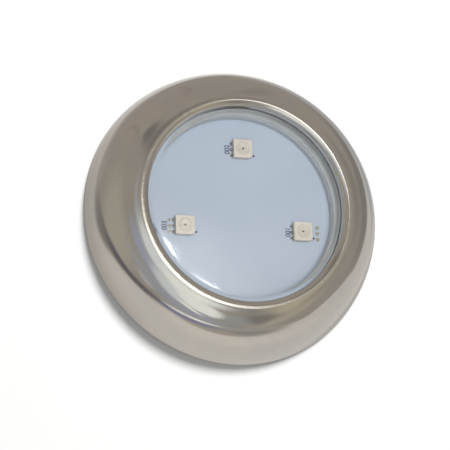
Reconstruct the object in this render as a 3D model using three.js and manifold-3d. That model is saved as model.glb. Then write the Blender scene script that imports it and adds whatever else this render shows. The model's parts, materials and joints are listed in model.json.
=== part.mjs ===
// Surface-mounted underwater pool light: a polished steel bezel over a sealed three-LED lamp, which a short
// twist locks on the hooks of a wall bracket.
// Millimetres, +Z is the way the light shines, and the bracket's back face lies on the wall at Z = 0.

import * as THREE from "three";
import { mergeVertices } from "three/addons/utils/BufferGeometryUtils.js";
import Module from "manifold-3d";

const wasm = await Module();
wasm.setup();

// ---- driving dimensions ----

const GAP = 0.3; // clearance between neighbouring pieces
const SEAT_GAP = 0.2; // clearance where one piece sits on or beside another along Z
const THIN_GAP = 0.1; // clearance inside the small electronic parts and seals
const OVERSHOOT = 1; // how far a cutting tool runs past the face that it cuts
const FINE = 64; // facets round the large turned pieces
const MEDIUM = 48; // facets round the cable gland
const SMALL = 24; // facets round screws, posts and other small pieces
const CORNER_STEPS = 8; // straight steps in a curved side of a flat piece
const WELD = 1e-4; // points closer than this are one point

// Outer face of the bezel at its three stations: radius, height, and tilt of the outward normal from +Z.
const FOOT = { radius: 39.8, z: 0.2, tilt: 80 };
const SHOULDER = { radius: 37.0, z: 9.2, tilt: 64 };
const CREST = { radius: 28.4, z: 15.4, tilt: 0 };
const SKIRT_PULL = 0.5; // how strongly the skirt and the dome keep their end directions
const DOME_PULL = 0.45;
const FACE_STEPS = 6; // straight steps in the section of the skirt, and in that of the dome
const SHEET = 1.2; // thickness of the bezel's steel
const MOUTH_RADIUS = 26.0; // opening of the bezel round the lens
const MOUTH_Z = 13.9; // top edge of that opening, where the rolled edge ends
const MOUTH_LIP = 1.3; // height of the cut edge round the opening
const ROLL_STEPS = 6; // straight steps in the section of the rolled edge

const LENS_RADIUS = MOUTH_RADIUS - GAP;
const LENS_FLANGE_RADIUS = 28.4;
const LENS_FLANGE = 2.1; // thickness of the flange under the bezel
const LENS_THICKNESS = 3.8;
const LENS_EDGE = 0.4; // bevel round the lens's face
const LENS_TOP = MOUTH_Z - SEAT_GAP;
const LENS_BOTTOM = LENS_TOP - LENS_THICKNESS;
const SEAL_THICKNESS = 0.3; // dark ring between the lens flange and the bezel

const WINDOW_RADIUS = 24.84; // clear inner radius under the lens
const GASKET_THICKNESS = 0.5;
const GASKET_BOTTOM = LENS_BOTTOM - GAP - GASKET_THICKNESS;

const HOUSING_RADIUS = 28.3;
const HOUSING_BORE = 26.1;
const HOUSING_FLOOR_Z = 1.9;
const HOUSING_FLOOR = 1.2;
const HOUSING_RIM_Z = GASKET_BOTTOM - SEAT_GAP;
const ROOT_RADIUS = HOUSING_RADIUS - 1; // where ears and lugs start, inside the housing's wall
const LEDGE_RADIUS = 24.2; // inner radius of the ledge that carries the board

const BOARD_RADIUS = HOUSING_BORE - GAP;
const BOARD_THICKNESS = 1.2;
const BOARD_BOTTOM = 5.0;
const BOARD_TOP = BOARD_BOTTOM + BOARD_THICKNESS;

const FASTENER_RADIUS = 31.1; // circle on which the three bezel screws stand
const FASTENER_ANGLES = [90, 210, 330];
const EAR_Z = 6.2;
const EAR_THICKNESS = 1.6;
const EAR_RADIUS = 3.0;
const SCREW_RADIUS = 1.0;
const SCREW_HEAD_RADIUS = 2.4;
const SCREW_HEAD = 1.5;
const SCREW_HEAD_CHAMFER = 0.6;
const SCREW_TOP = 10.4;
const SCREW_POINT = 0.4;
const SCREW_RECESS = { length: 2.4, width: 0.6, depth: 0.8 };
const POST_RADIUS = 2.2;
const POST_TOP = 11.6;
const POST_CAP = 0.8; // solid end of each post above its bore

const BAYONET_ANGLES = [30, 150, 270];
const LUG_HALF_ANGLE = 12;
const LUG_RADIUS = 30.4;
const LUG_THICKNESS = 1.4;
const HOOK_CLEARANCE = 0.4; // round and above each lug, so that it turns freely
const HOOK_INNER_RADIUS = HOUSING_RADIUS + HOOK_CLEARANCE;
const HOOK_WALL_RADIUS = LUG_RADIUS + HOOK_CLEARANCE;
const HOOK_RADIUS = 32.0;
const HOOK_TOP = 5.0;
const HOOK_HALF_ANGLE = LUG_HALF_ANGLE + 1;
const HOOK_STOP_GAP = 0.6; // degrees between a lug and its stop
const HOOK_STOP_WIDTH = 4; // degrees

const BRACKET_RADIUS = 34;
const BRACKET_THICKNESS = 1.5;
const BRACKET_HOLE_RADIUS = 10;
const SLOT_CENTRE_RADIUS = 20;
const SLOT_HALF_WIDTH = 2.25;
const SLOT_LENGTH = 9;

const GLAND_RADIUS = 5.6;
const GLAND_FLANGE_RADIUS = 7.8;
const GLAND_BORE = 4.6;
const GLAND_FLANGE = 1; // thickness of the gland's flange
const GLAND_FLANGE_BOTTOM = HOUSING_FLOOR_Z + HOUSING_FLOOR + GAP;
const GLAND_TOP = GLAND_FLANGE_BOTTOM + GLAND_FLANGE;
const CABLE_RADIUS = 3.1;
const NUT_ACROSS_FLATS = 15.5;
const NUT_THICKNESS = 1.2;
const NUT_BOTTOM = 0.4;

// Light-emitting diodes: square packages with six leads, each turned a little on the board.
const LED_PLACES = [
  [16.98, -4.87],
  [0.48, 16.4],
  [-15.08, -5.85],
];
const LED_TURN = 1.75;
const LED_WIDTH = 5.0;
const LED_HEIGHT = 1.4;
const LED_CORNER_CUT = 0.7;
const LED_CUP_RADIUS = 1.85;
const LED_CUP_DEPTH = 0.75;
const LED_WINDOW_THICKNESS = 0.5;
const LEAD_SHEET = 0.2;
const LEAD_WIDTH = 0.9;
const LEAD_PITCH = 1.6;
const LEAD_REACH = 0.25; // how far each lead stands out beyond the package
const PLATE_INSET = 0.3; // how far the plate under the package lies inside its sides
const LEAD_BOTTOM = BOARD_TOP + THIN_GAP;
const LED_BOTTOM = LEAD_BOTTOM + LEAD_SHEET + THIN_GAP;

// ---- materials ----

function material(colour, roughness, metalness, opacity = 1) {
  return new THREE.MeshStandardMaterial({
    color: colour,
    roughness,
    metalness,
    opacity,
    transparent: opacity < 1,
  });
}

const polishedSteel = () => material(0xb4aea3, 0.12, 1);
const plainSteel = () => material(0x9c9a94, 0.35, 1);
const clearPlastic = () => material(0xdfeaf2, 0.05, 0, 0.35);
const darkRubber = () => material(0x2a2c2e, 0.8, 0);
const greySilicone = () => material(0x8f9a94, 0.6, 0);
const whitePlastic = () => material(0xe3e8ea, 0.5, 0);
const greyPlastic = () => material(0x6c7073, 0.55, 0);
const boardWhite = () => material(0xc3d2e0, 0.45, 0);
const ledCream = () => material(0xd9cfbf, 0.5, 0);
const ledLens = () => material(0xc9b9a2, 0.2, 0);
const leadMetal = () => material(0xc8c8c4, 0.3, 1);
const chipBlack = () => material(0x1d1d1f, 0.6, 0);
const ceramicBrown = () => material(0x9a7a55, 0.6, 0);
const nickelBrass = () => material(0xb9b5a8, 0.3, 1);

// ---- shape helpers ----

const degrees = THREE.MathUtils.degToRad;

// Solid of revolution about Z. The outline lists [radius, z] anticlockwise and is closed here.
function turned(outline, facets = FINE) {
  const points = [...outline, outline[0]].map(([radius, z]) => new THREE.Vector2(radius, z));
  return new THREE.LatheGeometry(points, facets).rotateX(Math.PI / 2);
}

function ring(innerRadius, outerRadius, bottom, top, facets = FINE) {
  return turned(
    [
      [innerRadius, bottom],
      [outerRadius, bottom],
      [outerRadius, top],
      [innerRadius, top],
    ],
    facets,
  );
}

function disc(radius, bottom, top, facets = SMALL) {
  const height = top - bottom;
  return new THREE.CylinderGeometry(radius, radius, height, facets)
    .rotateX(Math.PI / 2)
    .translate(0, 0, bottom + height / 2);
}

function raised(shape, bottom, top, curveSegments = CORNER_STEPS) {
  const settings = { depth: top - bottom, bevelEnabled: false, curveSegments };
  return new THREE.ExtrudeGeometry(shape, settings).translate(0, 0, bottom);
}

function block(width, depth, bottom, top) {
  return new THREE.BoxGeometry(width, depth, top - bottom).translate(0, 0, (bottom + top) / 2);
}

function polar(radius, angle) {
  return [radius * Math.cos(degrees(angle)), radius * Math.sin(degrees(angle))];
}

// Part of a ring between two angles in degrees.
function sector(innerRadius, outerRadius, bottom, top, from, to) {
  const shape = new THREE.Shape();
  shape.absarc(0, 0, outerRadius, degrees(from), degrees(to), false);
  shape.absarc(0, 0, innerRadius, degrees(to), degrees(from), true);
  shape.closePath();
  return raised(shape, bottom, top);
}

function solid(geometry) {
  const bare = geometry.clone();
  bare.deleteAttribute("normal");
  bare.deleteAttribute("uv");
  const merged = mergeVertices(bare, WELD);
  return new wasm.Manifold(
    new wasm.Mesh({
      numProp: 3,
      vertProperties: new Float32Array(merged.attributes.position.array),
      triVerts: new Uint32Array(merged.index.array),
    }),
  );
}

function fromSolid(body) {
  const mesh = body.getMesh();
  const geometry = new THREE.BufferGeometry();
  geometry.setAttribute("position", new THREE.BufferAttribute(mesh.vertProperties, 3));
  geometry.setIndex(new THREE.BufferAttribute(mesh.triVerts, 1));
  return geometry;
}

function combine(base, joined, cuts) {
  let body = solid(base);
  for (const geometry of joined) {
    body = body.add(solid(geometry));
  }
  for (const geometry of cuts) {
    body = body.subtract(solid(geometry));
  }
  return fromSolid(body);
}

// ---- bezel ----

// A station of the bezel's face moved towards the inside of the sheet.
function inset(station, distance) {
  const tilt = degrees(station.tilt);
  return {
    radius: station.radius - distance * Math.sin(tilt),
    z: station.z - distance * Math.cos(tilt),
    along: new THREE.Vector2(-Math.cos(tilt), Math.sin(tilt)),
  };
}

// The face from foot to crest as [radius, z] points: a flared skirt, a round shoulder and a domed top.
function faceOutline(distance) {
  const foot = inset(FOOT, distance);
  foot.z = FOOT.z;
  const shoulder = inset(SHOULDER, distance);
  const crest = inset(CREST, distance);
  const path = new THREE.Path();
  const skirtPull = SKIRT_PULL * (shoulder.z - foot.z);
  const domePull = DOME_PULL * (shoulder.radius - crest.radius);
  path.moveTo(foot.radius, foot.z);
  path.quadraticCurveTo(
    shoulder.radius - skirtPull * shoulder.along.x,
    shoulder.z - skirtPull * shoulder.along.y,
    shoulder.radius,
    shoulder.z,
  );
  path.bezierCurveTo(
    shoulder.radius + domePull * shoulder.along.x,
    shoulder.z + domePull * shoulder.along.y,
    crest.radius + domePull,
    crest.z,
    crest.radius,
    crest.z,
  );
  return path.getPoints(FACE_STEPS).map((point) => [point.x, point.y]);
}

// The steel rolls from the crest down to the lens along one arc that starts level.
function rolledEdge() {
  const across = CREST.radius - MOUTH_RADIUS;
  const down = CREST.z - MOUTH_Z;
  const rollRadius = (across * across + down * down) / (2 * down);
  const turn = Math.asin(across / rollRadius);
  const points = [];
  for (let step = 1; step <= ROLL_STEPS; step += 1) {
    const tilt = (turn * step) / ROLL_STEPS;
    points.push([
      CREST.radius - rollRadius * Math.sin(tilt),
      CREST.z - rollRadius * (1 - Math.cos(tilt)),
    ]);
  }
  return points;
}

function bezelRing() {
  const mouthBottom = MOUTH_Z - MOUTH_LIP;
  const outside = faceOutline(0);
  const inside = faceOutline(SHEET).reverse();
  return turned([
    ...outside,
    ...rolledEdge(),
    [MOUTH_RADIUS, mouthBottom],
    [MOUTH_RADIUS + SHEET, mouthBottom],
    ...inside,
  ]);
}

// ---- lens and seals ----

function frontLens() {
  const flangeTop = LENS_BOTTOM + LENS_FLANGE;
  return turned([
    [0, LENS_BOTTOM],
    [LENS_FLANGE_RADIUS, LENS_BOTTOM],
    [LENS_FLANGE_RADIUS, flangeTop],
    [LENS_RADIUS, flangeTop],
    [LENS_RADIUS, LENS_TOP - LENS_EDGE],
    [LENS_RADIUS - LENS_EDGE, LENS_TOP],
    [0, LENS_TOP],
  ]);
}

function lipSeal() {
  const bottom = LENS_BOTTOM + LENS_FLANGE + THIN_GAP;
  return ring(LENS_RADIUS + THIN_GAP, LENS_FLANGE_RADIUS, bottom, bottom + SEAL_THICKNESS);
}

function lensGasket() {
  return ring(WINDOW_RADIUS, HOUSING_RADIUS, GASKET_BOTTOM, GASKET_BOTTOM + GASKET_THICKNESS);
}

function spacerRing() {
  return ring(WINDOW_RADIUS, BOARD_RADIUS, BOARD_TOP + GAP, GASKET_BOTTOM - GAP);
}

// ---- housing ----

function ear(angle) {
  const shape = new THREE.Shape();
  shape.moveTo(ROOT_RADIUS, -EAR_RADIUS);
  shape.lineTo(FASTENER_RADIUS, -EAR_RADIUS);
  shape.absarc(FASTENER_RADIUS, 0, EAR_RADIUS, -Math.PI / 2, Math.PI / 2, false);
  shape.lineTo(ROOT_RADIUS, EAR_RADIUS);
  shape.closePath();
  return raised(shape, EAR_Z, EAR_Z + EAR_THICKNESS).rotateZ(degrees(angle));
}

function lug(angle) {
  return sector(
    ROOT_RADIUS,
    LUG_RADIUS,
    HOUSING_FLOOR_Z,
    HOUSING_FLOOR_Z + LUG_THICKNESS,
    angle - LUG_HALF_ANGLE,
    angle + LUG_HALF_ANGLE,
  );
}

function screwHole(angle) {
  const [x, y] = polar(FASTENER_RADIUS, angle);
  const top = EAR_Z + EAR_THICKNESS + OVERSHOOT;
  return disc(SCREW_RADIUS + GAP, EAR_Z - OVERSHOOT, top).translate(x, y, 0);
}

function lampHousing() {
  const floorTop = HOUSING_FLOOR_Z + HOUSING_FLOOR;
  const ledgeTop = BOARD_BOTTOM - SEAT_GAP;
  const cup = turned([
    [GLAND_RADIUS + GAP, HOUSING_FLOOR_Z],
    [HOUSING_RADIUS, HOUSING_FLOOR_Z],
    [HOUSING_RADIUS, HOUSING_RIM_Z],
    [HOUSING_BORE, HOUSING_RIM_Z],
    [HOUSING_BORE, ledgeTop],
    [LEDGE_RADIUS, ledgeTop],
    [LEDGE_RADIUS, floorTop],
    [GLAND_RADIUS + GAP, floorTop],
  ]);
  const additions = [...FASTENER_ANGLES.map(ear), ...BAYONET_ANGLES.map(lug)];
  return combine(cup, additions, FASTENER_ANGLES.map(screwHole));
}

// ---- bezel screws and the posts they bite into ----

function bezelPost() {
  const bottom = EAR_Z + EAR_THICKNESS + GAP;
  const boreTop = POST_TOP - POST_CAP;
  const boreRadius = SCREW_RADIUS + GAP;
  return turned(
    [
      [boreRadius, bottom],
      [POST_RADIUS, bottom],
      [POST_RADIUS, POST_TOP],
      [0, POST_TOP],
      [0, boreTop],
      [boreRadius, boreTop],
    ],
    SMALL,
  );
}

function bezelScrew() {
  const headTop = EAR_Z - SEAT_GAP;
  const headBottom = headTop - SCREW_HEAD;
  const body = turned(
    [
      [0, headBottom],
      [SCREW_HEAD_RADIUS - SCREW_HEAD_CHAMFER, headBottom],
      [SCREW_HEAD_RADIUS, headBottom + SCREW_HEAD_CHAMFER],
      [SCREW_HEAD_RADIUS, headTop],
      [SCREW_RADIUS, headTop],
      [SCREW_RADIUS, SCREW_TOP - SCREW_POINT],
      [SCREW_RADIUS / 2, SCREW_TOP],
      [0, SCREW_TOP],
    ],
    SMALL,
  );
  const { length, width, depth } = SCREW_RECESS;
  const blade = () => block(length, width, headBottom - OVERSHOOT, headBottom + depth);
  return combine(body, [], [blade(), blade().rotateZ(Math.PI / 2)]);
}

// ---- cable inlet ----

function cableGland() {
  return turned(
    [
      [GLAND_BORE, NUT_BOTTOM],
      [GLAND_RADIUS, NUT_BOTTOM],
      [GLAND_RADIUS, GLAND_FLANGE_BOTTOM],
      [GLAND_FLANGE_RADIUS, GLAND_FLANGE_BOTTOM],
      [GLAND_FLANGE_RADIUS, GLAND_TOP],
      [GLAND_BORE, GLAND_TOP],
    ],
    MEDIUM,
  );
}

function glandSeal() {
  const bottom = NUT_BOTTOM + THIN_GAP;
  return ring(CABLE_RADIUS, GLAND_BORE - GAP, bottom, GLAND_TOP - THIN_GAP, SMALL);
}

function glandNut() {
  const shape = new THREE.Shape();
  const corner = NUT_ACROSS_FLATS / Math.sqrt(3);
  for (let side = 0; side < 6; side += 1) {
    const [x, y] = polar(corner, 60 * side);
    if (side === 0) {
      shape.moveTo(x, y);
    } else {
      shape.lineTo(x, y);
    }
  }
  shape.closePath();
  const hole = new THREE.Path();
  hole.absarc(0, 0, GLAND_RADIUS + GAP, 0, 2 * Math.PI, true);
  shape.holes.push(hole);
  return raised(shape, NUT_BOTTOM, NUT_BOTTOM + NUT_THICKNESS, SMALL);
}

// ---- board and its parts ----

function ledBoard() {
  return disc(BOARD_RADIUS, BOARD_BOTTOM, BOARD_TOP, FINE);
}

function ledBody() {
  const half = LED_WIDTH / 2;
  const shape = new THREE.Shape();
  shape.moveTo(-half, -half);
  shape.lineTo(half - LED_CORNER_CUT, -half);
  shape.lineTo(half, -half + LED_CORNER_CUT);
  shape.lineTo(half, half);
  shape.lineTo(-half, half);
  shape.closePath();
  const top = LED_BOTTOM + LED_HEIGHT;
  const cup = disc(LED_CUP_RADIUS, top - LED_CUP_DEPTH, top + OVERSHOOT);
  return combine(raised(shape, LED_BOTTOM, top), [], [cup]);
}

// One plate under the package with three leads on each side.
function ledLeadframe() {
  const plateHalf = LED_WIDTH / 2 - PLATE_INSET;
  const leadLength = LED_WIDTH + 2 * LEAD_REACH;
  const top = LEAD_BOTTOM + LEAD_SHEET;
  const spine = block(plateHalf, 2 * plateHalf, LEAD_BOTTOM, top);
  const leads = [-1, 0, 1].map((row) =>
    block(leadLength, LEAD_WIDTH, LEAD_BOTTOM, top).translate(0, row * LEAD_PITCH, 0),
  );
  return combine(spine, leads, []);
}

function ledWindow() {
  const top = LED_BOTTOM + LED_HEIGHT - THIN_GAP;
  return disc(LED_CUP_RADIUS - THIN_GAP, top - LED_WINDOW_THICKNESS, top);
}

// A moulded chip hanging under the board, with bevelled long edges.
function hangingChip(width, depth, height) {
  const top = BOARD_BOTTOM - SEAT_GAP;
  const bevel = height / 4;
  const shape = new THREE.Shape();
  shape.moveTo(-width / 2, 0);
  shape.lineTo(width / 2, 0);
  shape.lineTo(width / 2, -(height - bevel));
  shape.lineTo(width / 2 - bevel, -height);
  shape.lineTo(-width / 2 + bevel, -height);
  shape.lineTo(-width / 2, -(height - bevel));
  shape.closePath();
  return raised(shape, -depth / 2, depth / 2)
    .rotateX(Math.PI / 2)
    .translate(0, 0, top);
}

// ---- wall bracket ----

function hook(angle) {
  const ledgeBottom = HOUSING_FLOOR_Z + LUG_THICKNESS + HOOK_CLEARANCE;
  const from = angle - HOOK_HALF_ANGLE;
  const to = angle + HOOK_HALF_ANGLE;
  const stopEdge = angle - LUG_HALF_ANGLE - HOOK_STOP_GAP;
  const root = BRACKET_THICKNESS / 2;
  return [
    sector(HOOK_WALL_RADIUS, HOOK_RADIUS, root, HOOK_TOP, from, to),
    sector(HOOK_INNER_RADIUS, HOOK_RADIUS, ledgeBottom, HOOK_TOP, from, to),
    sector(HOOK_INNER_RADIUS, HOOK_RADIUS, root, HOOK_TOP, stopEdge - HOOK_STOP_WIDTH, stopEdge),
  ];
}

function wallSlot(side) {
  const shape = new THREE.Shape();
  const run = SLOT_LENGTH / 2 - SLOT_HALF_WIDTH;
  shape.absarc(0, run, SLOT_HALF_WIDTH, 0, Math.PI, false);
  shape.absarc(0, -run, SLOT_HALF_WIDTH, Math.PI, 2 * Math.PI, false);
  shape.closePath();
  const slot = raised(shape, -OVERSHOOT, BRACKET_THICKNESS + OVERSHOOT);
  return slot.translate(side * SLOT_CENTRE_RADIUS, 0, 0);
}

function wallBracket() {
  const plate = ring(BRACKET_HOLE_RADIUS, BRACKET_RADIUS, 0, BRACKET_THICKNESS, FINE);
  return combine(plate, BAYONET_ANGLES.flatMap(hook), [wallSlot(1), wallSlot(-1)]);
}

// ---- assembly ----

const light = new THREE.Group();

function place(parent, name, geometry, surface) {
  const mesh = new THREE.Mesh(geometry, surface);
  mesh.name = name;
  parent.add(mesh);
  return mesh;
}

place(light, "wall_bracket", wallBracket(), plainSteel());

const lamp = new THREE.Group();
light.add(lamp);
place(lamp, "bezel_ring", bezelRing(), polishedSteel());
place(lamp, "lip_seal", lipSeal(), darkRubber());
place(lamp, "front_lens", frontLens(), clearPlastic());
place(lamp, "lens_gasket", lensGasket(), greySilicone());
place(lamp, "spacer_ring", spacerRing(), whitePlastic());
place(lamp, "lamp_housing", lampHousing(), greyPlastic());
place(lamp, "cable_gland", cableGland(), nickelBrass());
place(lamp, "gland_seal", glandSeal(), darkRubber());
place(lamp, "gland_nut", glandNut(), nickelBrass());
place(lamp, "led_board", ledBoard(), boardWhite());

FASTENER_ANGLES.forEach((angle, index) => {
  const [x, y] = polar(FASTENER_RADIUS, angle);
  place(lamp, `bezel_post_${index + 1}`, bezelPost(), plainSteel()).position.set(x, y, 0);
  place(lamp, `bezel_screw_${index + 1}`, bezelScrew(), plainSteel()).position.set(x, y, 0);
});

LED_PLACES.forEach(([x, y], index) => {
  const led = new THREE.Group();
  led.position.set(x, y, 0);
  led.rotation.z = degrees(LED_TURN);
  lamp.add(led);
  place(led, `led_${index + 1}_body`, ledBody(), ledCream());
  place(led, `led_${index + 1}_leads`, ledLeadframe(), leadMetal());
  place(led, `led_${index + 1}_window`, ledWindow(), ledLens());
});

// Parts under the board: name, width, depth, height, radius and angle of the place, colour.
const UNDER_BOARD = [
  ["bridge_rectifier", 4.7, 4.0, 1.2, 14, 200, chipBlack],
  ["driver_chip", 5.0, 4.4, 1.2, 14, 90, chipBlack],
  ["input_capacitor", 3.2, 2.5, 1.1, 14, 240, ceramicBrown],
  ["red_resistor", 3.2, 1.6, 0.6, 15, 340, chipBlack],
  ["green_resistor", 3.2, 1.6, 0.6, 15, 0, chipBlack],
  ["blue_resistor", 3.2, 1.6, 0.6, 15, 20, chipBlack],
];

for (const [name, width, depth, height, radius, angle, surface] of UNDER_BOARD) {
  const [x, y] = polar(radius, angle);
  const chip = place(lamp, name, hangingChip(width, depth, height), surface());
  chip.position.set(x, y, 0);
  chip.rotation.z = degrees(angle + 90);
}

export default light;
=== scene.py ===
"""Looks for the underwater pool light: a polished bezel, a clear lens and a small board of colour LEDs."""

import json
import math
import random

import bmesh
import bpy
from mathutils import Matrix, Vector, noise


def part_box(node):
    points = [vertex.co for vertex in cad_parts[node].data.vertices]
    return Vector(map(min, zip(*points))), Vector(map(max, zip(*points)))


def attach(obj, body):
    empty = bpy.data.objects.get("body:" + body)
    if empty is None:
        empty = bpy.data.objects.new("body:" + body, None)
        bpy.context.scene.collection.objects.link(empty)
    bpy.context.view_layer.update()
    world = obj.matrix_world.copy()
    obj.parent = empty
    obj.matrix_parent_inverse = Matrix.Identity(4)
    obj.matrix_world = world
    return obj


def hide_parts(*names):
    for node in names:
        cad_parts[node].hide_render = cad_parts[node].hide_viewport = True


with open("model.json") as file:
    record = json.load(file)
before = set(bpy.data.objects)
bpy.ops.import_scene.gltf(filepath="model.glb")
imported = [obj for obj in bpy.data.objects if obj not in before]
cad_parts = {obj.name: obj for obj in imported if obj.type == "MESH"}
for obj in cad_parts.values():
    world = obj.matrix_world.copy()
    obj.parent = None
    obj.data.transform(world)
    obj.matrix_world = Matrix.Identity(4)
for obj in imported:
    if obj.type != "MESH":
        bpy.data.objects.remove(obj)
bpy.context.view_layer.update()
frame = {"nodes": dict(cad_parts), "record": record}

MM = 0.001
LAMP = "lamp"
BRACKET = "bracket"
SLOT_OF = {part["node"]: part["material_slot"] for part in frame["record"]["subparts"]}
RNG = random.Random(7)
SAME_PLACE = 1e-6  # points closer than this, in metres, are one point


# ---- node graphs ----


class Graph:
    """Short calls for building a node tree: each returns an output socket."""

    def __init__(self, tree):
        self.tree = tree
        tree.nodes.clear()

    def node(self, kind, **settings):
        made = self.tree.nodes.new(kind)
        for name, value in settings.items():
            setattr(made, name, value)
        return made

    def put(self, socket, value):
        """Links a socket to the input, or sets a plain value on it. None leaves it alone."""
        if isinstance(value, bpy.types.NodeSocket):
            self.tree.links.new(value, socket)
        elif value is not None:
            socket.default_value = value

    def maths(self, operation, *values):
        made = self.node("ShaderNodeMath", operation=operation)
        for socket, value in zip(made.inputs, values):
            self.put(socket, value)
        return made.outputs[0]

    def vector(self, operation, *values):
        made = self.node("ShaderNodeVectorMath", operation=operation)
        for socket, value in zip(made.inputs, values):
            self.put(socket, value)
        return made.outputs["Value" if operation in ("DOT_PRODUCT", "LENGTH") else "Vector"]

    def parts(self, vector):
        made = self.node("ShaderNodeSeparateXYZ")
        self.put(made.inputs[0], vector)
        return made.outputs

    def join(self, x, y, z):
        made = self.node("ShaderNodeCombineXYZ")
        for socket, value in zip(made.inputs, (x, y, z)):
            self.put(socket, value)
        return made.outputs[0]

    def place(self):
        """The point on the surface in metres, in the frame of its own object."""
        return self.node("ShaderNodeTexCoord").outputs["Object"]

    def noise(self, vector, scale, detail=3.0, roughness=0.5, distortion=0.0):
        made = self.node("ShaderNodeTexNoise")
        self.put(made.inputs["Vector"], vector)
        self.put(made.inputs["Scale"], scale)
        self.put(made.inputs["Detail"], detail)
        self.put(made.inputs["Roughness"], roughness)
        self.put(made.inputs["Distortion"], distortion)
        return made.outputs["Fac"]

    def cells(self, vector, scale):
        made = self.node("ShaderNodeTexVoronoi", feature="F1")
        self.put(made.inputs["Vector"], vector)
        self.put(made.inputs["Scale"], scale)
        return made.outputs["Distance"]

    def span(self, value, low, high, to_low=0.0, to_high=1.0, smooth=False):
        """Maps low..high onto to_low..to_high, and holds the ends."""
        kind = "SMOOTHSTEP" if smooth else "LINEAR"
        made = self.node("ShaderNodeMapRange", interpolation_type=kind, clamp=True)
        for socket, number in zip(made.inputs, (value, low, high, to_low, to_high)):
            self.put(socket, number)
        return made.outputs[0]

    def blend(self, factor, first, second):
        made = self.node("ShaderNodeMix", data_type="RGBA")
        self.put(made.inputs["Factor"], factor)
        self.put(made.inputs["A"], rgba(first))
        self.put(made.inputs["B"], rgba(second))
        return made.outputs["Result"]

    def bump(self, height, depth, under=None):
        """A bump of that depth in metres for heights from 0 to 1."""
        made = self.node("ShaderNodeBump")
        made.inputs["Strength"].default_value = 1.0
        made.inputs["Distance"].default_value = depth
        self.put(made.inputs["Height"], height)
        self.put(made.inputs["Normal"], under)
        return made.outputs[0]

    # The materials use this mask to paint their edges paler.
    def edge_mask(self, radius):
        """1 near the outer edges of a piece, 0 on its faces."""
        made = self.node("ShaderNodeBevel", samples=4)
        made.inputs["Radius"].default_value = radius
        flat = self.node("ShaderNodeNewGeometry").outputs["Normal"]
        same = self.vector("DOT_PRODUCT", made.outputs[0], flat)
        return self.span(same, 0.99, 0.9)

    def around(self, vector):
        """Cosine and sine of the angle round Z, the distance from Z, and the height."""
        x, y, z = self.parts(vector)
        flat = self.join(x, y, 0.0)
        radius = self.vector("LENGTH", flat)
        safe = self.maths("MAXIMUM", radius, 1e-5)
        return self.maths("DIVIDE", x, safe), self.maths("DIVIDE", y, safe), radius, z


def rgba(colour):
    if isinstance(colour, (tuple, list)) and len(colour) == 3:
        return (*colour, 1.0)
    return colour


def shader(graph, **sockets):
    made = graph.node("ShaderNodeBsdfPrincipled")
    for name, value in sockets.items():
        graph.put(made.inputs[name.replace("_", " ")], rgba(value))
    return made.outputs[0]


def new_material(name):
    material = bpy.data.materials.new(name)
    material.use_nodes = True
    return material, Graph(material.node_tree)


def finish_material(graph, surface):
    output = graph.node("ShaderNodeOutputMaterial")
    graph.put(output.inputs["Surface"], surface)


# ---- materials ----


def polished_steel():
    """Steel polished almost to a mirror, with faint marks of the wheel and the lathe."""
    material, g = new_material("polished_steel")
    place = g.place()
    cosine, sine, radius, height = g.around(place)
    # Buffing marks run up the section; turning marks run round it.
    buffing = g.vector("MULTIPLY", g.join(cosine, sine, height), (90.0, 90.0, 60.0))
    buffed = g.noise(buffing, 1.0, detail=4.0, roughness=0.65)
    turning = g.vector("MULTIPLY", g.join(radius, height, cosine), (9000.0, 9000.0, 1.5))
    turned = g.noise(turning, 1.0, detail=2.0)
    smudge = g.noise(place, 70.0, detail=5.0, roughness=0.6)
    specks = g.span(g.cells(place, 900.0), 0.06, 0.14, 1.0, 0.0)
    tint = g.blend(g.span(smudge, 0.35, 0.7), (0.60, 0.565, 0.515), (0.55, 0.525, 0.49))
    tint = g.blend(g.maths("MULTIPLY", specks, 0.25), tint, (0.35, 0.32, 0.28))
    rough = g.maths("ADD", g.span(smudge, 0.3, 0.75, 0.055, 0.12), g.span(buffed, 0.45, 0.75, 0.0, 0.06))
    relief = g.bump(buffed, 0.004 * MM)
    relief = g.bump(turned, 0.0015 * MM, relief)
    finish_material(g, shader(g, Base_Color=tint, Metallic=1.0, Roughness=rough, Normal=relief))
    return material


def plain_steel():
    """Turned or pressed steel that was left as it came."""
    material, g = new_material("plain_steel")
    place = g.place()
    cosine, _sine, radius, height = g.around(place)
    turning = g.vector("MULTIPLY", g.join(radius, height, cosine), (5000.0, 5000.0, 2.0))
    lines = g.noise(turning, 1.0, detail=4.0, roughness=0.7)
    cloud = g.noise(place, 120.0, detail=4.0)
    tint = g.blend(g.span(cloud, 0.3, 0.7), (0.50, 0.49, 0.47), (0.60, 0.59, 0.57))
    # Paler along the edges.
    tint = g.blend(g.edge_mask(0.25 * MM), tint, (0.72, 0.71, 0.69))
    rough = g.maths("ADD", g.span(lines, 0.3, 0.7, 0.24, 0.42), g.span(cloud, 0.3, 0.7, -0.03, 0.05))
    finish_material(
        g, shader(g, Base_Color=tint, Metallic=1.0, Roughness=rough, Normal=g.bump(lines, 0.006 * MM))
    )
    return material


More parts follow.
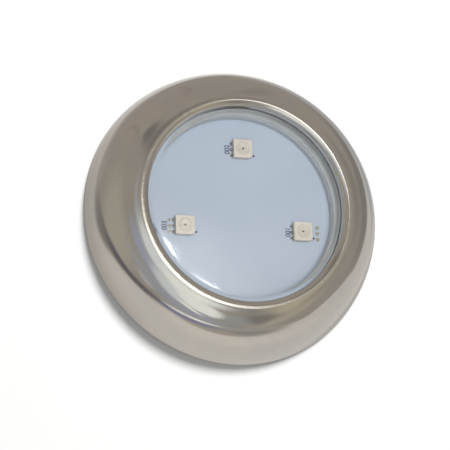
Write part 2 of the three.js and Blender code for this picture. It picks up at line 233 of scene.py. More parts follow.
def clear_plastic():
    """Clear plastic that lets the lamps' light fall on what lies behind it."""
    material, g = new_material("clear_plastic")
    place = g.place()
    haze = g.noise(place, 90.0, detail=4.0)
    hair = g.noise(g.vector("MULTIPLY", place, (4000.0, 300.0, 300.0)), 1.0, detail=2.0)
    rough = g.maths("ADD", g.span(haze, 0.35, 0.7, 0.0, 0.03), g.span(hair, 0.62, 0.7, 0.0, 0.03))
    body = shader(
        g,
        Base_Color=(0.985, 0.985, 0.99),
        Roughness=rough,
        IOR=1.49,
        Transmission_Weight=1.0,
        Normal=g.bump(haze, 0.004 * MM),
    )
    clear = g.node("ShaderNodeBsdfTransparent")
    clear.inputs["Color"].default_value = (0.92, 0.95, 0.96, 1.0)
    ray = g.node("ShaderNodeLightPath").outputs
    surface = body
    for kind in ("Is Diffuse Ray", "Is Shadow Ray"):
        mix = g.node("ShaderNodeMixShader")
        for socket, value in zip(mix.inputs, (ray[kind], surface, clear.outputs[0])):
            g.put(socket, value)
        surface = mix.outputs[0]
    finish_material(g, surface)
    return material


def rubber(name, dark, light, rough):
    """A soft moulded rubber or silicone, a little paler along its edges."""
    material, g = new_material(name)
    place = g.place()
    cloud = g.noise(place, 160.0, detail=5.0)
    grain = g.noise(place, 5000.0, detail=2.0)
    tint = g.blend(g.span(cloud, 0.3, 0.7), dark, light)
    tint = g.blend(g.maths("MULTIPLY", g.edge_mask(0.15 * MM), 0.4), tint, tuple(2.0 * c for c in light))
    roughness = g.span(grain, 0.3, 0.7, rough - 0.07, rough + 0.07)
    finish_material(
        g, shader(g, Base_Color=tint, Roughness=roughness, Normal=g.bump(grain, 0.01 * MM))
    )
    return material


def moulded_plastic(name, dark, light, rough, grain_scale, grain_depth):
    """Moulded plastic or resin with a fine grain."""
    material, g = new_material(name)
    place = g.place()
    cloud = g.noise(place, 60.0, detail=4.0)
    grain = g.noise(place, grain_scale, detail=3.0, roughness=0.6)
    tint = g.blend(g.span(cloud, 0.3, 0.7), dark, light)
    # Paler along the edges.
    paler_edge = g.maths("MULTIPLY", g.edge_mask(0.2 * MM), 0.35)
    tint = g.blend(paler_edge, tint, tuple(min(1.0, 1.5 * c + 0.02) for c in light))
    fine = g.span(grain, 0.3, 0.7, rough - 0.06, rough + 0.06)
    roughness = g.maths("ADD", fine, g.span(cloud, 0.3, 0.7, -0.02, 0.03))
    finish_material(
        g, shader(g, Base_Color=tint, Roughness=roughness, Normal=g.bump(grain, grain_depth))
    )
    return material


def solder_mask():
    """The pale lacquer of a circuit board, with the weave of its glass showing faintly."""
    material, g = new_material("white_board")
    place = g.place()
    cloud = g.noise(place, 45.0, detail=4.0)
    weave_x = g.noise(g.vector("MULTIPLY", place, (2600.0, 260.0, 1.0)), 1.0, detail=1.0)
    weave_y = g.noise(g.vector("MULTIPLY", place, (260.0, 2600.0, 1.0)), 1.0, detail=1.0)
    weave = g.maths("MAXIMUM", weave_x, weave_y)
    tint = g.blend(g.span(cloud, 0.3, 0.7), (0.425, 0.465, 0.545), (0.465, 0.505, 0.58))
    tint = g.blend(g.span(weave, 0.5, 0.75, 0.0, 0.06), tint, (0.37, 0.41, 0.48))
    rough = g.span(weave, 0.35, 0.75, 0.34, 0.46)
    finish_material(
        g, shader(g, Base_Color=tint, Roughness=rough, Normal=g.bump(weave, 0.004 * MM))
    )
    return material


def led_plastic():
    """The cream plastic of an LED package."""
    material, g = new_material("led_package")
    place = g.place()
    cloud = g.noise(place, 420.0, detail=4.0)
    grain = g.noise(place, 9000.0, detail=2.0)
    tint = g.blend(g.span(cloud, 0.3, 0.7), (0.64, 0.555, 0.475), (0.70, 0.61, 0.53))
    # Paler along the edges.
    tint = g.blend(g.maths("MULTIPLY", g.edge_mask(0.1 * MM), 0.5), tint, (0.82, 0.76, 0.67))
    rough = g.span(grain, 0.3, 0.7, 0.35, 0.5)
    finish_material(
        g, shader(g, Base_Color=tint, Roughness=rough, Normal=g.bump(grain, 0.003 * MM))
    )
    return material


def led_silicone():
    """The silicone over the chips, with the fine wires under it seen as darker veins."""
    material, g = new_material("led_window")
    place = g.place()
    cloud = g.noise(place, 800.0, detail=4.0)
    tint = g.blend(g.span(cloud, 0.3, 0.7), (0.57, 0.49, 0.42), (0.65, 0.565, 0.49))
    swirl = g.noise(place, 1100.0, detail=2.0, distortion=1.5)
    veins = g.span(g.maths("ABSOLUTE", g.maths("SUBTRACT", swirl, 0.5)), 0.0, 0.035, 0.5, 0.0)
    tint = g.blend(veins, tint, (0.30, 0.25, 0.21))
    rough = g.span(cloud, 0.3, 0.7, 0.08, 0.2)
    relief = g.bump(cloud, 0.01 * MM)
    finish_material(
        g, shader(g, Base_Color=tint, Roughness=rough, IOR=1.41, Coat_Weight=0.6, Normal=relief)
    )
    return material


def tinned_metal(name, dark, light, rough, metallic=1.0):
    """A plated or soldered metal, duller in some places than in others."""
    material, g = new_material(name)
    place = g.place()
    cloud = g.noise(place, 1500.0, detail=4.0)
    tint = g.blend(g.span(cloud, 0.3, 0.7), dark, light)
    # Brighter along the edges.
    bright = tuple(min(1.0, 1.3 * c) for c in light)
    tint = g.blend(g.maths("MULTIPLY", g.edge_mask(0.08 * MM), 0.5), tint, bright)
    roughness = g.span(cloud, 0.3, 0.7, rough - 0.08, rough + 0.12)
    relief = g.bump(cloud, 0.008 * MM)
    finish_material(
        g, shader(g, Base_Color=tint, Metallic=metallic, Roughness=roughness, Normal=relief)
    )
    return material


MATERIALS = {
    "polished_steel": polished_steel(),
    "plain_steel": plain_steel(),
    "clear_plastic": clear_plastic(),
    "dark_rubber": rubber("dark_rubber", (0.20, 0.20, 0.205), (0.25, 0.25, 0.26), 0.6),
    "grey_silicone": rubber("grey_silicone", (0.37, 0.365, 0.36), (0.45, 0.445, 0.44), 0.45),
    "white_plastic": moulded_plastic(
        "white_plastic", (0.46, 0.465, 0.48), (0.52, 0.525, 0.54), 0.45, 2500.0, 0.004 * MM
    ),
    "grey_plastic": moulded_plastic(
        "grey_plastic", (0.12, 0.13, 0.14), (0.17, 0.18, 0.19), 0.5, 1800.0, 0.02 * MM
    ),
    "white_board": solder_mask(),
    "led_package": led_plastic(),
    "led_window": led_silicone(),
    "lead_metal": tinned_metal("lead_metal", (0.42, 0.42, 0.42), (0.66, 0.65, 0.62), 0.3),
    "chip_black": moulded_plastic(
        "chip_black", (0.013, 0.013, 0.015), (0.024, 0.024, 0.026), 0.55, 6000.0, 0.01 * MM
    ),
    "capacitor_brown": moulded_plastic(
        "capacitor_brown", (0.24, 0.15, 0.08), (0.34, 0.22, 0.12), 0.4, 5000.0, 0.004 * MM
    ),
    "nickel_brass": tinned_metal("nickel_brass", (0.46, 0.43, 0.36), (0.62, 0.59, 0.51), 0.28),
}
INK = moulded_plastic("board_ink", (0.035, 0.03, 0.09), (0.06, 0.05, 0.13), 0.5, 6000.0, 0.002 * MM)
GOLD = tinned_metal("pad_metal", (0.34, 0.30, 0.22), (0.45, 0.41, 0.32), 0.45, metallic=0.3)
SOLDER = tinned_metal("solder", (0.34, 0.32, 0.29), (0.55, 0.52, 0.48), 0.3)
DIE = moulded_plastic("led_die", (0.03, 0.03, 0.035), (0.07, 0.07, 0.08), 0.2, 9000.0, 0.001 * MM)
PALE_DIE = moulded_plastic("pale_die", (0.42, 0.42, 0.34), (0.50, 0.50, 0.42), 0.3, 9000.0, 0.001 * MM)


# ---- meshes from the frame ----


def finish_piece(piece, slot, body, *nodes, material=None):
    """Gives a piece its material, picked by its slot unless one is given, and its body, and hides the nodes
    that it stands for.
    """
    piece.data.materials.clear()
    piece.data.materials.append(material or MATERIALS[slot])
    if nodes:
        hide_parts(*nodes)
    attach(piece, body)
    return piece


def new_object(name, mesh):
    piece = bpy.data.objects.new(name, mesh)
    bpy.context.scene.collection.objects.link(piece)
    return piece


def axis_of(node):
    """The middle of a node's box, which lies on the axis of a turned node."""
    low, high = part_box(node)
    return (low + high) / 2


def meridian(node):
    """The outline of a turned node as (radius, height) points, in order, and whether it closes on itself."""
    centre = axis_of(node)
    mesh = frame["nodes"][node].data
    links = {}

    def key(vertex):
        """Where a vertex lies in the section plane, or None off that plane."""
        x, y, z = mesh.vertices[vertex].co
        if abs(y - centre.y) > SAME_PLACE or x < centre.x - SAME_PLACE:
            return None
        return (round(x - centre.x, 6), round(z, 6))

    for edge in mesh.edges:
        ends = [key(vertex) for vertex in edge.vertices]
        if None in ends or ends[0] == ends[1]:
            continue
        links.setdefault(ends[0], set()).add(ends[1])
        links.setdefault(ends[1], set()).add(ends[0])
    ends = sorted(point for point, near in links.items() if len(near) == 1)
    start = ends[0] if ends else min(links)
    outline = [start]
    previous = None
    while True:
        near = sorted(point for point in links[outline[-1]] if point != previous)
        previous = outline[-1]
        if not near or near[0] == start:
            break
        outline.append(near[0])
    return [Vector(point) for point in outline], not ends


SHARP_CORNER = math.radians(28)  # a turn in a section of at least this much is a corner
CORNER_SHARE = 0.42  # the most of a side that the arc at one of its ends may take
CORNER_STEPS = 5


def rounded(outline, closed, rounding):
    """Replaces each sharp corner by an arc, and returns points with their tangents."""
    points = []
    count = len(outline)
    for index, point in enumerate(outline):
        if not closed and index in (0, count - 1):
            near = outline[1] if index == 0 else outline[-2]
            along = (near - point if index == 0 else point - near).normalized()
            points.append((point, along))
            continue
        before = point - outline[index - 1]
        after = outline[(index + 1) % count] - point
        incoming, outgoing = before.normalized(), after.normalized()
        turn = incoming.angle(outgoing)
        if turn < SHARP_CORNER:
            weight = before.length + after.length
            along = (incoming * after.length + outgoing * before.length) / weight
            points.append((point, along.normalized()))
            continue
        cut = min(rounding, CORNER_SHARE * before.length, CORNER_SHARE * after.length)
        first, last = point - incoming * cut, point + outgoing * cut
        for step in range(CORNER_STEPS + 1):
            t = step / CORNER_STEPS
            position = (1 - t) ** 2 * first + 2 * t * (1 - t) * point + t * t * last
            points.append((position, incoming.lerp(outgoing, t).normalized()))
    return points


def smoothed(points, closed, step):
    """A curve through the points along their tangents, with a point about every step."""
    dense = []
    count = len(points)
    for index in range(count if closed else count - 1):
        (start, leaving), (end, arriving) = points[index], points[(index + 1) % count]
        length = (end - start).length
        pieces = max(1, math.ceil(length / step))
        for piece in range(pieces):
            t = piece / pieces
            bend = (2 * t**3 - 3 * t**2 + 1) * start + (t**3 - 2 * t**2 + t) * length * leaving
            dense.append(bend + (3 * t**2 - 2 * t**3) * end + (t**3 - t**2) * length * arriving)
    if not closed:
        dense.append(points[-1][0])
    top = max(point.y for point, along in points)
    return [Vector((point.x, min(point.y, top))) for point in dense]


def revolve(name, outline, closed, centre, segments, shape=None):
    """Turns (radius, height) points round a vertical axis. shape(point) may move each vertex."""
    points, faces, rows = [], [], []
    for radius, height in outline:
        if radius < SAME_PLACE:
            rows.append([len(points)] * segments)
            points.append(Vector((centre.x, centre.y, height)))
            continue
        rows.append(range(len(points), len(points) + segments))
        for step in range(segments):
            angle = 2 * math.pi * step / segments
            across = Vector((radius * math.cos(angle), radius * math.sin(angle)))
            point = Vector((centre.x + across.x, centre.y + across.y, height))
            points.append(shape(point) if shape else point)
    pairs = list(zip(rows, rows[1:])) + ([(rows[-1], rows[0])] if closed else [])
    for lower, upper in pairs:
        for step in range(segments):
            ahead = (step + 1) % segments
            corners = [lower[step], lower[ahead], upper[ahead], upper[step]]
            faces.append(list(dict.fromkeys(corners)))
    mesh = bpy.data.meshes.new(name)
    mesh.from_pydata(points, [], faces)
    builder = bmesh.new()
    builder.from_mesh(mesh)
    bmesh.ops.recalc_face_normals(builder, faces=builder.faces)
    builder.to_mesh(mesh)
    builder.free()
    mesh.shade_smooth()
    return new_object(name, mesh)


def turned_piece(name, node, rounding, segments=256, step=0.6 * MM, shape=None):
    """A turned node made again as a finer mesh, with its corners rounded."""
    outline, closed = meridian(node)
    curve = smoothed(rounded(outline, closed, rounding), closed, step)
    piece = revolve(name, curve, closed, axis_of(node), segments, shape)
    return finish_piece(piece, SLOT_OF[node], LAMP, node)


def bevelled_piece(name, node, width, body=LAMP, segments=3):
    """A copy of a node with its flat faces joined up and its edges rounded."""
    mesh = frame["nodes"][node].data.copy()
    builder = bmesh.new()
    builder.from_mesh(mesh)
    bmesh.ops.remove_doubles(builder, verts=builder.verts, dist=SAME_PLACE)
    bmesh.ops.dissolve_limit(
        builder, angle_limit=math.radians(1), verts=builder.verts, edges=builder.edges
    )
    builder.to_mesh(mesh)
    builder.free()
    for attribute in [a.name for a in mesh.attributes if a.name == "custom_normal"]:
        mesh.attributes.remove(mesh.attributes[attribute])
    mesh.shade_smooth()
    piece = new_object(name, mesh)
    bevel = piece.modifiers.new("edges", "BEVEL")
    bevel.width = width
    bevel.segments = segments
    bevel.limit_method = "ANGLE"
    bevel.angle_limit = math.radians(25)
    bevel.harden_normals = True
    return finish_piece(piece, SLOT_OF[node], body, node)


# ---- bezel, lens and seals ----

# The frame's bezel section: its highest point, and the top edge of the opening round the lens.
BEZEL_SECTION = meridian("bezel_ring")[0]
CREST = max(BEZEL_SECTION, key=lambda point: point.y)
MOUTH_RADIUS = min(point.x for point in BEZEL_SECTION)
MOUTH_Z = max(point.y for point in BEZEL_SECTION if point.x < MOUTH_RADIUS + SAME_PLACE)
LIP_DROP = CREST.y - MOUTH_Z
LIP_WIDTH = CREST.x - MOUTH_RADIUS
LIP_SHIFT = 0.4 * MM  # how far the crest moves inwards
MOUTH_SHIFT = 0.2 * MM  # how far the mouth moves outwards
DOME_BLEND = 5 * MM  # how far out from the crest its shift fades to nothing
LIP_POWER = 2.5  # 2 gives the quarter of an ellipse, more gives a squarer lip
LIP_DEPTH = 2 * MM  # how far below the mouth's top edge the shift still acts
SKIN = 0.1 * MM  # points this close under the frame's arc belong to the lip's outer face


def rolled_tight(point):
    """The lip turns down later and more sharply than the frame's single arc."""
    flat = Vector((point.x, point.y, 0.0))
    radius, height = flat.length, point.z
    if height < MOUTH_Z - LIP_DEPTH or radius > CREST.x + DOME_BLEND:
        return point
    if radius > CREST.x:
        near = 1 - (radius - CREST.x) / DOME_BLEND
        return point - flat.normalized() * (LIP_SHIFT * near * near * (3 - 2 * near))
    share = min(1.0, (CREST.x - radius) / LIP_WIDTH)
    arc_radius = (LIP_WIDTH**2 + LIP_DROP**2) / (2 * LIP_DROP)
    arc_height = CREST.y - arc_radius + math.sqrt(arc_radius**2 - (CREST.x - radius) ** 2)
    if height > arc_height - SKIN:
        height = CREST.y - LIP_DROP * (1 - (1 - share**LIP_POWER) ** (1 / LIP_POWER))
    moved = flat.normalized() * (radius - LIP_SHIFT + (LIP_SHIFT + MOUTH_SHIFT) * share)
    return Vector((moved.x, moved.y, height))


turned_piece("bezel", "bezel_ring", rounding=0.5 * MM, segments=360, step=0.2 * MM, shape=rolled_tight)

# The lens's flange is its widest step, and its raised face is the next.
LENS_STEPS = sorted({round(radius, 5) for radius, height in meridian("front_lens")[0]})
LENS_FACE_RADIUS = LENS_STEPS[-2]
SEAL_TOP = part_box("lip_seal")[1].z
LENS_FIT = 0.42 * MM  # how much wider the raised face is than the frame's
LENS_BEND_START = LENS_FACE_RADIUS - 0.6 * MM  # where the flat face begins to turn down
LENS_BEND_RADIUS = 2 * MM


def pressed_in(point):
    """The lens's raised face nearly fills the bezel's mouth, and turns down at its edge."""
    flat = Vector((point.x, point.y, 0.0))
    bend = flat.length - LENS_BEND_START
    if point.z < SEAL_TOP or bend < 0:
        return point
    drop = LENS_BEND_RADIUS - math.sqrt(LENS_BEND_RADIUS**2 - bend**2)
    fit = flat.normalized() * (LENS_FIT * bend / (LENS_FACE_RADIUS - LENS_BEND_START))
    return point + fit - Vector((0, 0, drop))


turned_piece("lens", "front_lens", rounding=0.4 * MM, step=0.25 * MM, shape=pressed_in)
turned_piece("black_lip_seal", "lip_seal", rounding=0.1 * MM)

GASKET_INNER_RADIUS = min(radius for radius, height in meridian("lens_gasket")[0])
GASKET_EDGE = GASKET_INNER_RADIUS + 0.1 * MM  # points inside this belong to the inner edge
GASKET_WAVE = 0.12 * MM


def squeezed(point):
    """The gasket's inner edge is pressed out unevenly by the lens."""
    flat = Vector((point.x, point.y, 0.0))
    if flat.length > GASKET_EDGE:
        return point
    wave = noise.noise(flat.normalized() * 5.0) + 0.5 * noise.noise(flat.normalized() * 14.0)
    return point - flat.normalized() * (GASKET_WAVE * wave)


turned_piece("grey_gasket", "lens_gasket", rounding=0.15 * MM, shape=squeezed)
turned_piece("white_spacer", "spacer_ring", rounding=0.2 * MM)


# ---- board ----

BOARD_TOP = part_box("led_board")[1].z
HAIR = 0.002 * MM  # gap under what lies on the board, so that no two faces share a plane
PAD_THICKNESS = 0.03 * MM
INK_THICKNESS = 0.015 * MM
turned_piece("board", "led_board", rounding=0.12 * MM, step=1.5 * MM)


def flat_patch(name, outline, thickness, material, slot):
    """A thin raised patch on the board from (x, y) points."""
    builder = bmesh.new()
    low = BOARD_TOP + HAIR
    high = low + thickness
    lower = [builder.verts.new((x, y, low)) for x, y in outline]
    upper = [builder.verts.new((x, y, high)) for x, y in outline]
    builder.faces.new(lower[::-1])
    builder.faces.new(upper)
    for index in range(len(outline)):
        following = (index + 1) % len(outline)
        builder.faces.new((lower[index], lower[following], upper[following], upper[index]))
    mesh = bpy.data.meshes.new(name)
    builder.to_mesh(mesh)
    builder.free()
    return finish_piece(new_object(name, mesh), slot, LAMP, material=material)


BLOB_SEED = 900  # makes each blob's shape follow from its place


def blob(centre, radius, unevenness, points=20):
    """A rounded outline that is a little uneven, like a hand-soldered spot."""
    outline = []
    for index in range(points):
        angle = 2 * math.pi * index / points
        cosine, sine = math.cos(angle), math.sin(angle)
        swell = noise.noise(Vector((cosine, sine, BLOB_SEED * centre.x)))
        reach = radius * (1 + unevenness * swell)
        outline.append((centre.x + reach * cosine, centre.y + reach * sine))
    return outline


LED_TURN = math.radians(1.75)  # how far each LED is turned on the board
LED_HALF = 2.5 * MM
LEAD_PITCH = 1.6 * MM
ROWS = (-1, 0, 1)
PAD_RADIUS = 0.5 * MM
PAD_UNEVENNESS = 0.5
DOT_RADIUS = 0.31 * MM
DOT_OFFSET = Vector((0.88, 1.18)) * MM  # from the package's lower right corner
NUMBER_SIZE = 2.0 * MM
NUMBER_WIDTH = 0.86  # of the font's own width
STROKE_SWELL = 0.03 * MM
NUMBER_DEPTH = 0.01 * MM  # above and below its own middle plane


def led_point(led, right, up):
    """A point on the board, measured from the middle of an LED along its own sides."""
    middle = axis_of(f"led_{led}_body")
    return Vector((middle.x, middle.y)) + Matrix.Rotation(LED_TURN, 2) @ Vector((right, up))


def numeral(led, right):
    """A plain number beside the LED, reading up the board."""
    curve = bpy.data.curves.new(f"number_{led}", "FONT")
    curve.body = f"00{led}"
    curve.size = NUMBER_SIZE
    curve.extrude = NUMBER_DEPTH
    curve.offset = STROKE_SWELL
    curve.align_x = "CENTER"
    curve.align_y = "CENTER"
    text = bpy.data.objects.new("text", curve)
    bpy.context.scene.collection.objects.link(text)
    place = led_point(led, right, 0.0)
    text.location = (place.x, place.y, BOARD_TOP + HAIR + NUMBER_DEPTH)
    text.rotation_euler.z = math.pi / 2 + LED_TURN
    text.scale.x = NUMBER_WIDTH
    bpy.context.view_layer.update()
    evaluated = text.evaluated_get(bpy.context.evaluated_depsgraph_get())
    mesh = bpy.data.meshes.new_from_object(evaluated)
    mesh.transform(text.matrix_world)
    bpy.data.objects.remove(text)
    return finish_piece(new_object(f"number_{led}", mesh), "white_board", LAMP, material=INK)


# Where each LED's number stands, and its row of bare pads if it has one, from its middle.
NUMBER_AT = {1: -3.65 * MM, 2: -3.8 * MM, 3: -5.1 * MM}
PADS_AT = {1: 4.45 * MM, 3: -3.8 * MM}


def led_marks(led):
    """The pads, the dot and the number round one LED."""
    if led in PADS_AT:
        for row in ROWS:
            place = led_point(led, PADS_AT[led], row * LEAD_PITCH)
            outline = blob(place, PAD_RADIUS, PAD_UNEVENNESS)
            flat_patch(f"pad_{led}_{row + 2}", outline, PAD_THICKNESS, GOLD, "lead_metal")
    dot = led_point(led, LED_HALF + DOT_OFFSET.x, -LED_HALF + DOT_OFFSET.y)
    flat_patch(f"dot_{led}", blob(dot, DOT_RADIUS, 0.0), INK_THICKNESS, INK, "white_board")
    numeral(led, NUMBER_AT[led])


# ---- LEDs ----


def dome(builder, centre, half_sizes, turn, rings=6, sides=20):
    """Half an ellipsoid, flat side down, added to a mesh under construction."""
    rows = []
    for ring in range(rings):
        lift = math.pi / 2 * ring / rings
        row = []
        for side in range(sides):
            angle = 2 * math.pi * side / sides
            flat = Vector((math.cos(angle) * half_sizes.x, math.sin(angle) * half_sizes.y)) * math.cos(lift)
            place = centre.xy + Matrix.Rotation(turn, 2) @ flat
            row.append(builder.verts.new((place.x, place.y, centre.z + half_sizes.z * math.sin(lift))))
        rows.append(row)
    top = builder.verts.new((centre.x, centre.y, centre.z + half_sizes.z))
    for lower, upper in zip(rows, rows[1:]):
        for side in range(sides):
            ahead = (side + 1) % sides
            builder.faces.new((lower[side], lower[ahead], upper[ahead], upper[side]))
    for side in range(sides):
        builder.faces.new((rows[-1][side], rows[-1][(side + 1) % sides], top))
    builder.faces.new(rows[0][::-1])


def mesh_piece(name, builder, slot, *nodes, material=None):
    mesh = bpy.data.meshes.new(name)
    builder.to_mesh(mesh)
    builder.free()
    mesh.shade_smooth()
    return finish_piece(new_object(name, mesh), slot, LAMP, *nodes, material=material)


SOLDER_HEIGHT = 0.32 * MM
SOLDER_HALF_WIDTH = 0.47 * MM
SOLDER_OVERLAP = 0.1 * MM  # how far each mound runs under the package and past its reach
SOLDER_REACH = {-1: 0.6 * MM, 1: 0.3 * MM}  # beyond the left and the right side of the package


def solder_joints(led):
    """Six mounds of solder over the ends of the leads, long on the left and short on the right."""
    builder = bmesh.new()
    for side, reach in SOLDER_REACH.items():
        for row in ROWS:
            across = side * (LED_HALF + reach / 2 - SOLDER_OVERLAP)
            place = led_point(led, across, row * LEAD_PITCH)
            centre = Vector((place.x, place.y, BOARD_TOP + HAIR))
            height = SOLDER_HEIGHT * RNG.uniform(0.85, 1.1)
            size = Vector((reach / 2 + SOLDER_OVERLAP, SOLDER_HALF_WIDTH, height))
            dome(builder, centre, size, LED_TURN + RNG.uniform(-0.12, 0.12))
    return mesh_piece(f"led_{led}_solder", builder, "lead_metal", material=SOLDER)


CUP_RADIUS = 1.84 * MM
CUP_DIP = 0.06 * MM
CUP_STEPS = 8
FILL_BELOW_RIM = 0.02 * MM
CHIP_ABOVE_FILL = 0.004 * MM
CHIP_HEIGHT = 0.01 * MM
CHIP_HALF = {-1: 0.24 * MM, 0: 0.26 * MM, 1: 0.24 * MM}
CHIP_STEP = Vector((0.75, 0.2)) * MM  # from one chip to the next


def led_fill(led):
    """The clear silicone in the cup, dished a little by shrinkage."""
    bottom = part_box(f"led_{led}_window")[0].z
    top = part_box(f"led_{led}_body")[1].z - FILL_BELOW_RIM
    outline = [Vector((0.0, bottom)), Vector((CUP_RADIUS, bottom))]
    for step in range(CUP_STEPS + 1):
        share = 1 - step / CUP_STEPS
        outline.append(Vector((CUP_RADIUS * share, top - CUP_DIP * (1 - share**4))))
    piece = revolve(f"led_{led}_fill", outline, False, axis_of(f"led_{led}_window"), 64)
    return finish_piece(piece, "led_window", LAMP, f"led_{led}_window")


def led_chips(led):
    """Three chips that show through the silicone, the middle one dark."""
    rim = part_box(f"led_{led}_body")[1].z
    level = rim - FILL_BELOW_RIM - CUP_DIP + CHIP_ABOVE_FILL
    for row, material in zip(ROWS, (PALE_DIE, DIE, PALE_DIE)):
        builder = bmesh.new()
        place = led_point(led, row * CHIP_STEP.x, row * CHIP_STEP.y)
        centre = Vector((place.x, place.y, level))
        size = Vector((CHIP_HALF[row], CHIP_HALF[row], CHIP_HEIGHT))
        dome(builder, centre, size, LED_TURN, rings=2, sides=12)
        mesh_piece(f"led_{led}_chip_{row + 2}", builder, "led_window", material=material)


for led in (1, 2, 3):
    bevelled_piece(f"led_{led}_case", f"led_{led}_body", 0.06 * MM)
    bevelled_piece(f"led_{led}_lead_plate", f"led_{led}_leads", 0.03 * MM, segments=2)
    led_fill(led)
    led_chips(led)
    solder_joints(led)
    led_marks(led)


# ---- parts behind the board ----

SMALL_PARTS = ("bridge_rectifier", "driver_chip", "input_capacitor")
RESISTORS = ("red_resistor", "green_resistor", "blue_resistor")
for node in SMALL_PARTS + RESISTORS:
    bevelled_piece(f"{node}_body", node, 0.08 * MM)
bevelled_piece("housing", "lamp_housing", 0.2 * MM)
bevelled_piece("gland_hex_nut", "gland_nut", 0.2 * MM)
turned_piece("gland", "cable_gland", rounding=0.2 * MM, segments=128)
turned_piece("gland_bush", "gland_seal", rounding=0.3 * MM, segments=96)
for number in (1, 2, 3):
    bevelled_piece(f"post_{number}", f"bezel_post_{number}", 0.15 * MM)
    bevelled_piece(f"screw_{number}", f"bezel_screw_{number}", 0.1 * MM)
bevelled_piece("bracket_plate", "wall_bracket", 0.15 * MM, body=BRACKET)


# ---- floor, surroundings and lamps ----

# The floor lies a hair below the bracket, so that the two faces never share a plane.
FLOOR_GAP = 0.02 * MM
FLOOR_HALF = 1.5  # half the floor's side, in metres


def floor():
    """A plain pale floor, which shows in no reflection: the surroundings stand in for it there."""
    builder = bmesh.new()
    bmesh.ops.create_grid(builder, x_segments=1, y_segments=1, size=FLOOR_HALF)
    mesh = bpy.data.meshes.new("floor")
    builder.to_mesh(mesh)
    builder.free()
    piece = new_object("floor", mesh)
    material, g = new_material("floor_paper")
    cloud = g.noise(g.place(), 8.0, detail=4.0)
    tint = g.blend(g.span(cloud, 0.3, 0.7), (0.55, 0.55, 0.55), (0.57, 0.57, 0.57))
    finish_material(g, shader(g, Base_Color=tint, Roughness=0.9))
    mesh.materials.append(material)
    piece.location.z = -FLOOR_GAP
    piece.visible_glossy = False
    return piece


FLOOR = floor()


def towards(azimuth, elevation):
    """A direction from its angle round Z from +X, and its height above the horizon, in degrees."""
    a, e = math.radians(azimuth), math.radians(elevation)
    return Vector((math.cos(a) * math.cos(e), math.sin(a) * math.cos(e), math.sin(e)))


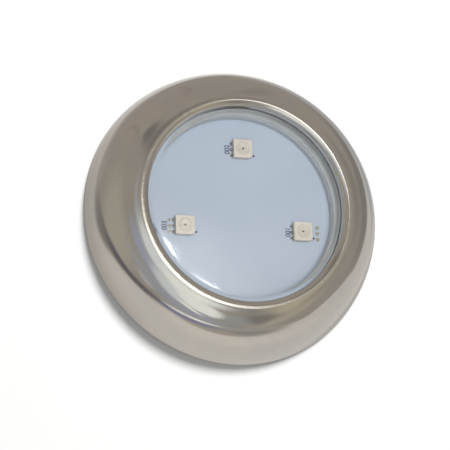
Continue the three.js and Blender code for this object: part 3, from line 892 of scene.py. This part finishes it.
# The studio that the steel and the lens reflect: soft oval panels, the later over the earlier.
# Each has its name, then its azimuth, elevation, half length, half height and the tilt of its
# long side in degrees, then its softness and its colour.
PANELS = [
    ("warm_floor", -80, -6, 40, 16, 0, 1.0, (0.86, 0.83, 0.79)),
    ("shaded_floor", 172, -62, 34, 24, 0, 1.0, (0.56, 0.54, 0.51)),
    ("far_floor", 98, -36, 26, 10, 0, 0.6, (0.42, 0.39, 0.355)),
    ("pale_hump", -21, 14, 15, 14.5, 0, 0.3, (0.75, 0.74, 0.73)),
    ("brown_shelf", -88, 24, 38, 20, 5, 0.3, (0.50, 0.47, 0.43)),
    ("shelf_shadow", -70, 17, 12, 5, 0, 0.9, (0.38, 0.38, 0.38)),
    ("olive_sill", -82, 35, 10, 5, 0, 0.9, (0.40, 0.41, 0.40)),
    ("contact_shadow", -120, -72, 24, 20, 0, 0.5, (0.36, 0.35, 0.34)),
    ("skirt_floor", 14, -58, 18, 12, 0, 0.8, (0.54, 0.53, 0.515)),
    ("cool_floor", 40, -30, 22, 13, 0, 0.8, (0.51, 0.53, 0.57)),
    ("dim_corner", 27, 10, 30, 13, -42, 0.9, (0.32, 0.31, 0.30)),
    ("light_wall", 178, 8, 26, 30, 0, 1.0, (0.53, 0.51, 0.45)),
    ("wall_joint", 125, 8, 1.2, 34, 0, 0.9, (0.39, 0.36, 0.33)),
    ("wall_crack", 95, 10, 1.0, 26, 0, 0.9, (0.39, 0.36, 0.33)),
    ("wall_recess", 67, 34, 3, 16, 0, 0.9, (0.39, 0.36, 0.325)),
    ("dim_wall", 30, 42, 11, 9, 0, 1.0, (0.365, 0.34, 0.31)),
    ("haze_low", -124, 37, 34, 15, 0, 0.8, (0.46, 0.49, 0.54)),
    ("light_sill", -143, 21, 7, 5, 0, 0.8, (0.58, 0.58, 0.60)),
    ("haze_left", -163, 64, 15, 13, 0, 0.8, (0.45, 0.50, 0.62)),
    ("haze_right", -67, 56, 8, 14, -20, 0.8, (0.43, 0.46, 0.47)),
    ("upper_haze", 150, 75, 14, 3.5, 0, 0.9, (0.51, 0.55, 0.62)),
    ("olive_arc", -46, 58, 14, 5, 55, 0.8, (0.29, 0.285, 0.26)),
    ("straw_arc", 5, 66, 14, 3.5, 10, 0.8, (0.62, 0.585, 0.44)),
    ("straw_shelf", -36, 50, 20, 5, 30, 0.9, (0.555, 0.525, 0.44)),
    ("ceiling", 0, 90, 13.5, 13.5, 0, 0.4, (0.95, 1.02, 1.05)),
    ("dark_beam", 5, 73, 10, 2.5, 0, 0.9, (0.35, 0.35, 0.35)),
    ("window_glow", -118, 63, 14, 18, 0, 0.7, (0.87, 0.94, 0.98)),
    ("window", -94, 67, 9, 19, 0, 0.4, (1.16, 1.21, 1.19)),
    ("window_sill", -108, 37, 16, 5, -5, 0.8, (0.48, 0.51, 0.62)),
    ("window_notch", -96, 48, 6, 3, -15, 0.8, (0.52, 0.57, 0.71)),
    ("window_streak", -107, 46, 7.5, 2.2, -36, 0.5, (1.45, 1.42, 1.30)),
    ("dark_arc_low", 109, 50, 12, 4, -57, 0.9, (0.25, 0.24, 0.23)),
    ("dark_arc_high", 78, 63.5, 12, 3.5, -12, 0.9, (0.26, 0.25, 0.24)),
    ("small_window", 45, 72.5, 4, 5, 0, 0.6, (2.6, 2.6, 2.5)),
    ("ceiling_glow", -60, 86, 9, 6, 0, 0.8, (1.25, 1.27, 1.22)),
    ("white_strip", -108, 20.5, 19, 2.4, 18, 0.5, (1.3, 1.3, 1.25)),
    ("blue_strip", -110, 14, 24, 4, 17, 0.7, (0.29, 0.31, 0.49)),
    ("dark_tail", 178, -26, 20, 5.5, 26, 0.9, (0.31, 0.29, 0.28)),
    ("dark_strip", -152, -6, 34, 4.5, 34, 0.7, (0.18, 0.175, 0.21)),
    ("left_lamp", 48.6, 68.16, 0.47, 0.13, -15, 0.6, (20.0, 20.0, 19.4)),
    ("right_lamp", 44.3, 68.04, 0.52, 0.08, 19, 0.6, (14.0, 14.0, 13.7)),
    ("crest_lamp", 50.6, 70.3, 0.5, 0.5, 0, 0.6, (8.0, 8.0, 7.8)),
]
# Behind the panels a pale paper sweep fills one side and a darker wall the other, with a soft slanting edge.
WALL = (0.44, 0.41, 0.375)
SWEEP = (0.765, 0.755, 0.735)
SWEEP_NORMAL = towards(125, 58)
SWEEP_EDGE = math.sin(math.radians(-8))
SWEEP_SOFTNESS = 0.03


def panel_mask(g, direction, azimuth, elevation, length, height, tilt, softness):
    """How far a direction lies inside a soft oval panel."""
    middle = towards(azimuth, elevation)
    level = Vector((-math.sin(math.radians(azimuth)), math.cos(math.radians(azimuth)), 0))
    along = Matrix.Rotation(math.radians(tilt), 3, middle) @ level
    across = middle.cross(along)
    u = g.maths("DIVIDE", g.vector("DOT_PRODUCT", direction, along), math.sin(math.radians(length)))
    w = g.maths("DIVIDE", g.vector("DOT_PRODUCT", direction, across), math.sin(math.radians(height)))
    reach = g.maths("SQRT", g.maths("ADD", g.maths("MULTIPLY", u, u), g.maths("MULTIPLY", w, w)))
    inside = g.span(reach, 1.0 - softness / 2, 1.0 + softness / 2, 1.0, 0.0, smooth=True)
    ahead = g.maths("GREATER_THAN", g.vector("DOT_PRODUCT", direction, middle), 0.0)
    return g.maths("MULTIPLY", inside, ahead)


def surroundings():
    """The world: the sweep and the wall with every panel laid over them."""
    world = bpy.data.worlds.new("studio")
    world.use_nodes = True
    bpy.context.scene.world = world
    g = Graph(world.node_tree)
    direction = g.node("ShaderNodeTexCoord").outputs["Generated"]
    above = g.vector("DOT_PRODUCT", direction, SWEEP_NORMAL)
    edge = g.span(above, SWEEP_EDGE - SWEEP_SOFTNESS, SWEEP_EDGE + SWEEP_SOFTNESS, smooth=True)
    colour = g.blend(edge, SWEEP, WALL)
    for _name, *shape, light in PANELS:
        colour = g.blend(panel_mask(g, direction, *shape), colour, light)
    background = g.node("ShaderNodeBackground")
    g.put(background.inputs["Color"], colour)
    output = g.node("ShaderNodeOutputWorld")
    g.put(output.inputs["Surface"], background.outputs[0])


surroundings()

LAMP_DISTANCE = 1.2  # metres


def soft_lamp(name, azimuth, elevation, size, power, receivers):
    """A round lamp over a metre away, which lights only the given objects and shows in no reflection."""
    data = bpy.data.lights.new(name, "AREA")
    data.shape = "DISK"
    data.size = size
    data.energy = power
    lamp = bpy.data.objects.new(name, data)
    bpy.context.scene.collection.objects.link(lamp)
    direction = towards(azimuth, elevation)
    lamp.location = direction * LAMP_DISTANCE
    lamp.rotation_euler = direction.to_track_quat("Z", "Y").to_euler()
    lamp.visible_glossy = False
    lamp.visible_transmission = False
    lit = bpy.data.collections.new(f"{name}_lights")
    for piece in receivers:
        lit.objects.link(piece)
    lamp.light_linking.receiver_collection = lit


MESHES = [piece for piece in bpy.context.scene.objects if piece.type == "MESH"]
OBJECT_PIECES = [piece for piece in MESHES if piece != FLOOR]

# The key lamp draws the drop shadow, and lights nothing but the floor.
# The fill lamp lights nothing but the object.
soft_lamp("key", azimuth=60, elevation=61, size=0.3, power=22.6, receivers=[FLOOR])
soft_lamp("fill", azimuth=-100, elevation=78, size=0.8, power=11.8, receivers=OBJECT_PIECES)


# ---- camera ----

AIM = Vector((-4.5, -5.1, 9.5)) * MM
CAMERA_AZIMUTH = -133.27
CAMERA_ELEVATION = 66.42
CAMERA_DISTANCE = 0.4973
CAMERA_LENS = 153.9


def camera():
    """The camera, with the object's Y axis upright in its picture."""
    data = bpy.data.cameras.new("camera")
    data.sensor_width = 36.0
    data.lens = CAMERA_LENS
    data.clip_start = 0.01
    data.clip_end = 10.0
    piece = bpy.data.objects.new("camera", data)
    bpy.context.scene.collection.objects.link(piece)
    back = towards(CAMERA_AZIMUTH, CAMERA_ELEVATION)
    right = Vector((0, 1, 0)).cross(back).normalized()
    up = back.cross(right)
    turned = Matrix((right, up, back)).transposed().to_4x4()
    piece.matrix_world = Matrix.Translation(AIM + back * CAMERA_DISTANCE) @ turned
    bpy.context.scene.camera = piece


camera()
bpy.context.scene.view_settings.view_transform = "Standard"
